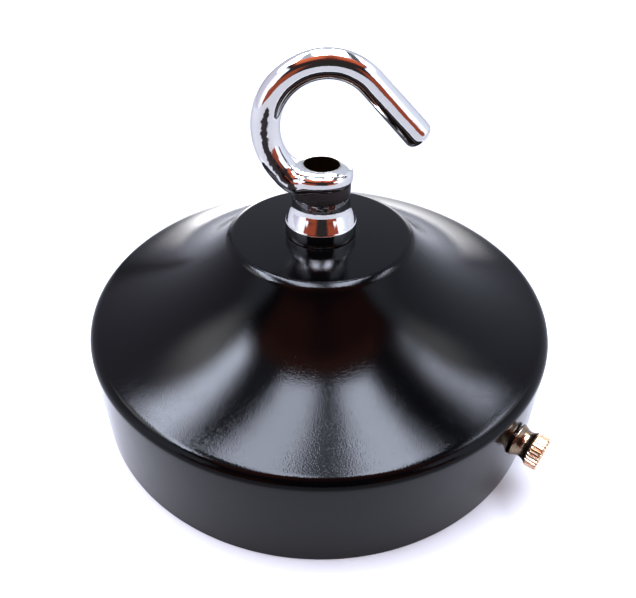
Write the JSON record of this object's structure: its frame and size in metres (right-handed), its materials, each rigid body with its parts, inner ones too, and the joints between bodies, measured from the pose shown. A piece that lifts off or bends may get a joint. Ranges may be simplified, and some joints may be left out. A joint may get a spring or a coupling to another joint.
{
  "type": "ceiling rose with cable hook",
  "caption": "Black pressed steel ceiling cup with a chrome hook on a hollow nipple, held to a strap bracket by knurled side screws.",
  "frame": {"origin": "centre of the open rim, on the plane where the rim meets the ceiling or the table", "axes": "+Z along the cup axis towards the hook, +X along the strap through the right side screw"},
  "size_m": [0.119, 0.108, 0.0787],
  "materials": {
    "black_enamel": "satin-gloss baked black with fine orange peel",
    "zinc_plate": "bright zinc plate",
    "hook_chrome": "bright chrome over a casting",
    "plain_brass": "plain turned brass",
    "bush_plastic": "natural nylon",
    "screw_brass": "turned and straight-knurled, darker neck"
  },
  "bodies": {
    "canopy": {"canopy": "black_enamel", "strap_bracket": "zinc_plate"},
    "hook": {"hook": "hook_chrome", "hollow_nipple": "plain_brass", "nipple_bush": "bush_plastic"},
    "washers": {"plain_washer": "zinc_plate", "tooth_washer": "zinc_plate"},
    "lock_nut": {"lock_nut": "plain_brass"},
    "side_screw_right": {"side_screw_right": "screw_brass"},
    "side_screw_left": {"side_screw_left": "screw_brass"},
    "earth_washer": {"earth_cup_washer": "plain_brass"},
    "earth_screw": {"earth_screw": "plain_brass"}
  },
  "joints": [
    {"name": "hook_swivel", "type": "hinge", "parent": "canopy", "child": "hook", "pos_m": [0, 0, 0.0404], "axis": [0, 0, 1], "continuous": true},
    {"name": "washer_drop", "type": "slide", "parent": "hook", "child": "washers", "axis": [0, 0, -1], "range_m": [0, 0.006]},
    {"name": "lock_nut_turn", "type": "hinge", "parent": "washers", "child": "lock_nut", "pos_m": [0, 0, 0.0356], "axis": [0, 0, -1], "range_deg": [0, 2160]},
    {"name": "side_screw_right_travel", "type": "slide", "parent": "canopy", "child": "side_screw_right", "axis": [1, 0, 0], "range_m": [0, 0.008]},
    {"name": "side_screw_left_travel", "type": "slide", "parent": "canopy", "child": "side_screw_left", "axis": [-1, 0, 0], "range_m": [0, 0.008]},
    {"name": "earth_washer_lift", "type": "slide", "parent": "canopy", "child": "earth_washer", "axis": [0, 1, 0], "range_m": [0, 0.003]},
    {"name": "earth_screw_turn", "type": "hinge", "parent": "earth_washer", "child": "earth_screw", "pos_m": [-0.014, 0.009, 0.008], "axis": [0, 1, 0], "range_deg": [0, 1543]}
  ],
  "couplings": [
    {"joint": "lock_nut_turn", "follows": "washer_drop", "rad_per_m": 6283.2},
    {"joint": "earth_screw_turn", "follows": "earth_washer_lift", "rad_per_m": 8976}
  ]
}
